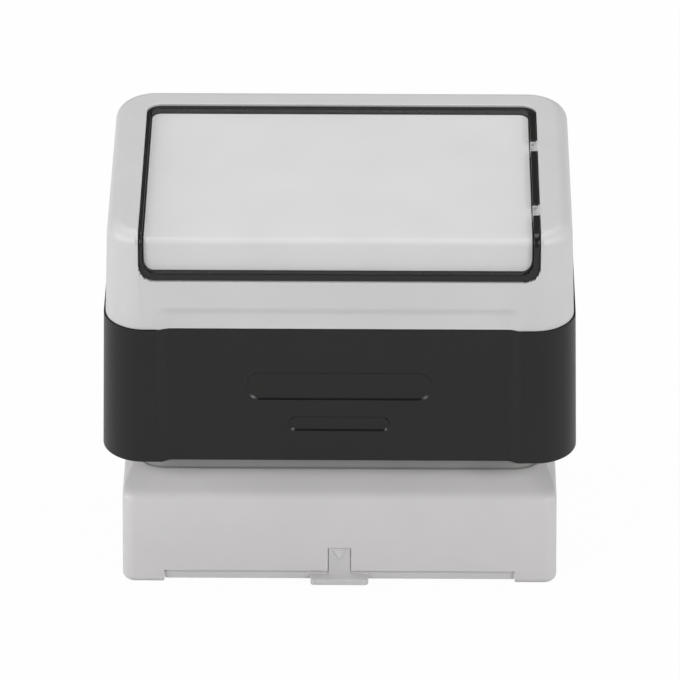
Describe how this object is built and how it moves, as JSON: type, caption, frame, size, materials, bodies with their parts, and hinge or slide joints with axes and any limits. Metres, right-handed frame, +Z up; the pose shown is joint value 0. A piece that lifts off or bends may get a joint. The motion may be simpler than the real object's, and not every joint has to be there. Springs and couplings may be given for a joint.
{
  "type": "pre-inked hand stamp",
  "caption": "Rectangular pre-inked hand stamp standing in its cap: sprung grip over a slide sleeve, label under a clear cover on top, hinged base lid below.",
  "frame": {"origin": "centre of the footprint, on the surface that the cap's feet stand on", "axes": "+X to the right along the width, -Y to the front, +Z up along the press"},
  "size_m": [0.078, 0.054, 0.0666],
  "materials": {
    "cap_white": "fine satin",
    "lid_white": "fine satin",
    "seal_foam": "matte",
    "sleeve_grey": "satin",
    "spring_steel": "bright",
    "grip_black": "satin",
    "core_grey": "matte",
    "screw_steel": "zinc plated",
    "shell_white": "fine satin",
    "tray_black": "satin",
    "card_white": "paper",
    "cover_clear": "polished",
    "holder_grey": "matte",
    "ink_foam": "soaked felt",
    "face_rubber": "matte"
  },
  "bodies": {
    "cap": {"cap_housing": "cap_white"},
    "lid": {"base_lid": "lid_white", "seal_pad": "seal_foam"},
    "sleeve": {"slide_sleeve": "sleeve_grey", "return_spring_front_left": "spring_steel", "return_spring_front_right": "spring_steel", "return_spring_rear_left": "spring_steel", "return_spring_rear_right": "spring_steel"},
    "handle": {"grip_housing": "grip_black", "core_frame": "core_grey", "frame_screws": "screw_steel", "handle_shell": "shell_white", "label_tray": "tray_black", "label_card": "card_white", "pad_holder": "holder_grey", "ink_reservoir": "ink_foam", "ink_feed_pad": "ink_foam", "stamp_face": "face_rubber", "clamp_frame": "core_grey"},
    "cover": {"label_cover": "cover_clear"}
  },
  "joints": [
    {"name": "cap_release", "type": "slide", "parent": "cap", "child": "sleeve", "axis": [0, 0, 1], "range_m": [0, 0.03]},
    {"name": "handle_press", "type": "slide", "parent": "sleeve", "child": "handle", "axis": [0, 0, -1], "range_m": [0, 0.005], "stiffness_N_per_m": 1200, "springref_m": -0.006, "deforming": ["return_spring_front_left", "return_spring_front_right", "return_spring_rear_left", "return_spring_rear_right"]},
    {"name": "cover_hinge", "type": "hinge", "parent": "handle", "child": "cover", "pos_m": [0.0317, 0, 0.06605], "axis": [0, 1, 0], "range_deg": [0, 90]},
    {"name": "lid_hinge", "type": "hinge", "parent": "cap", "child": "lid", "pos_m": [0, 0.023, 0.00155], "axis": [1, 0, 0], "range_deg": [0, 90]}
  ]
}
